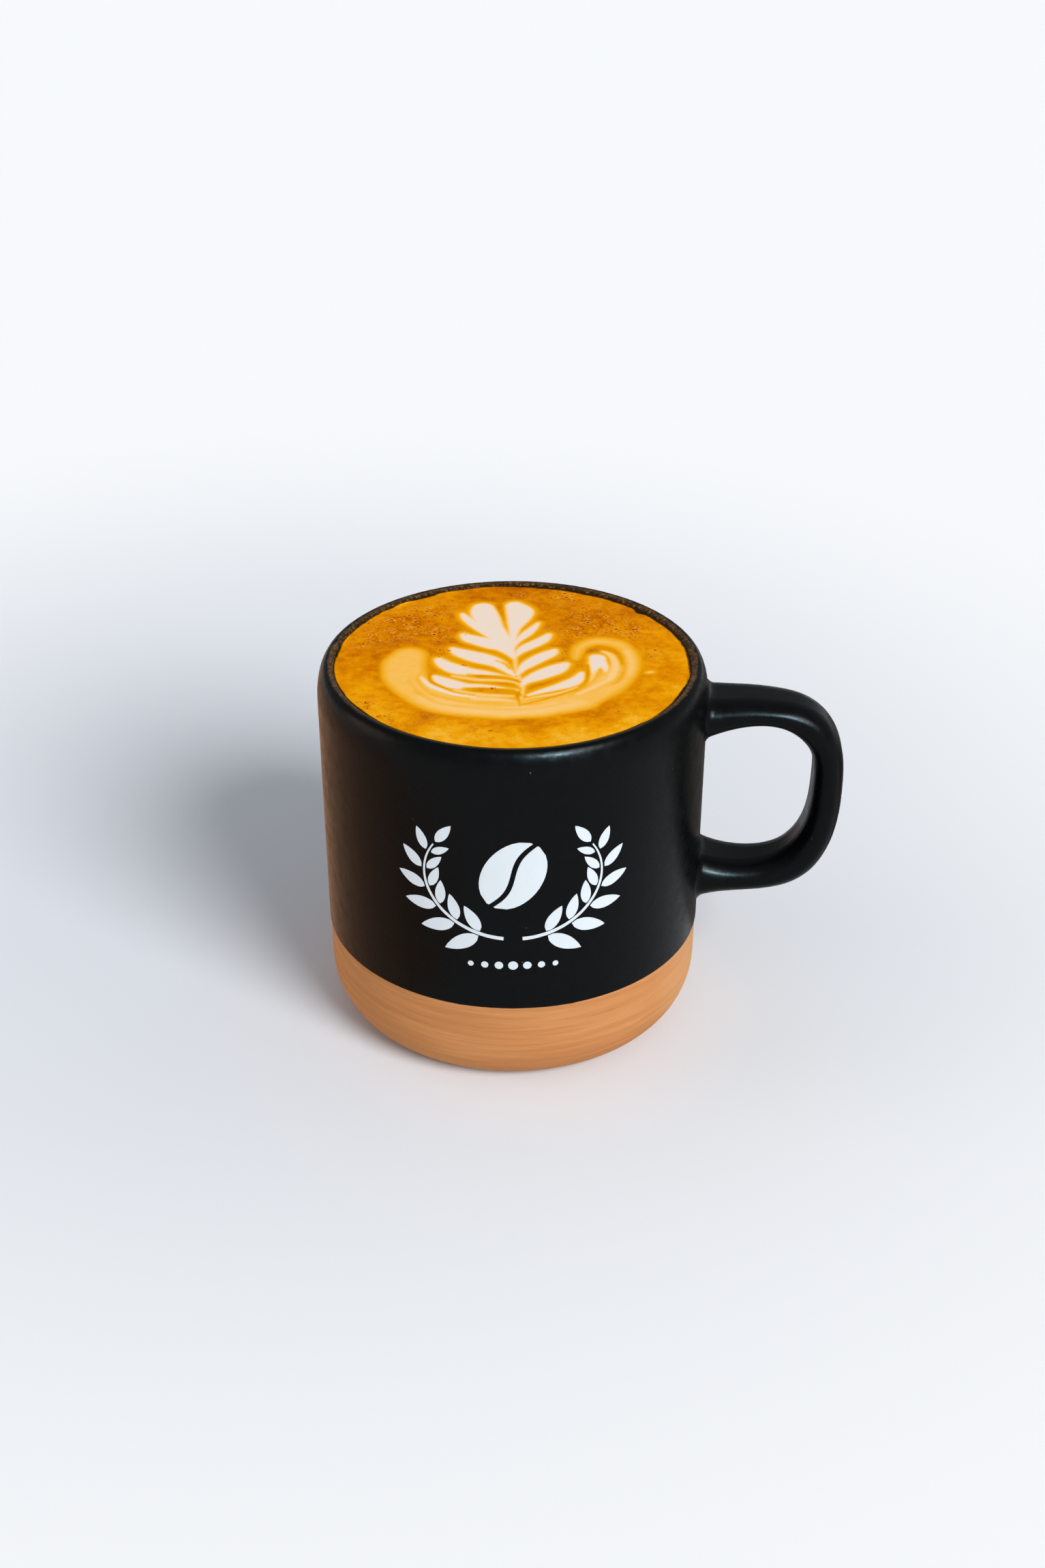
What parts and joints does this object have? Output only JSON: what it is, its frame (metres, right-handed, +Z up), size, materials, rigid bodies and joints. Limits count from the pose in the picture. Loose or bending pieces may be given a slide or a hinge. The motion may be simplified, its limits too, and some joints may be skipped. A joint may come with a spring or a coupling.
{
  "type": "caramel macchiato",
  "caption": "Milk coffee with a poured leaf pattern, filled to the brim of a straight two-tone ceramic mug with a rounded D handle.",
  "frame": {"origin": "on the mug's axis, in the plane of the foot ring it stands on", "axes": "+Z up along the mug's axis, +X towards the handle, +Y towards the leaf's crown"},
  "size_m": [0.1141, 0.084, 0.0838],
  "materials": {
    "mug_ceramic": "satin black glaze over bare terracotta clay",
    "coffee_crema": "fine wet foam",
    "milk_foam": "fine wet foam"
  },
  "bodies": {
    "root": {"mug": "mug_ceramic", "coffee": "coffee_crema", "milk_foam": "milk_foam"}
  },
  "joints": []
}
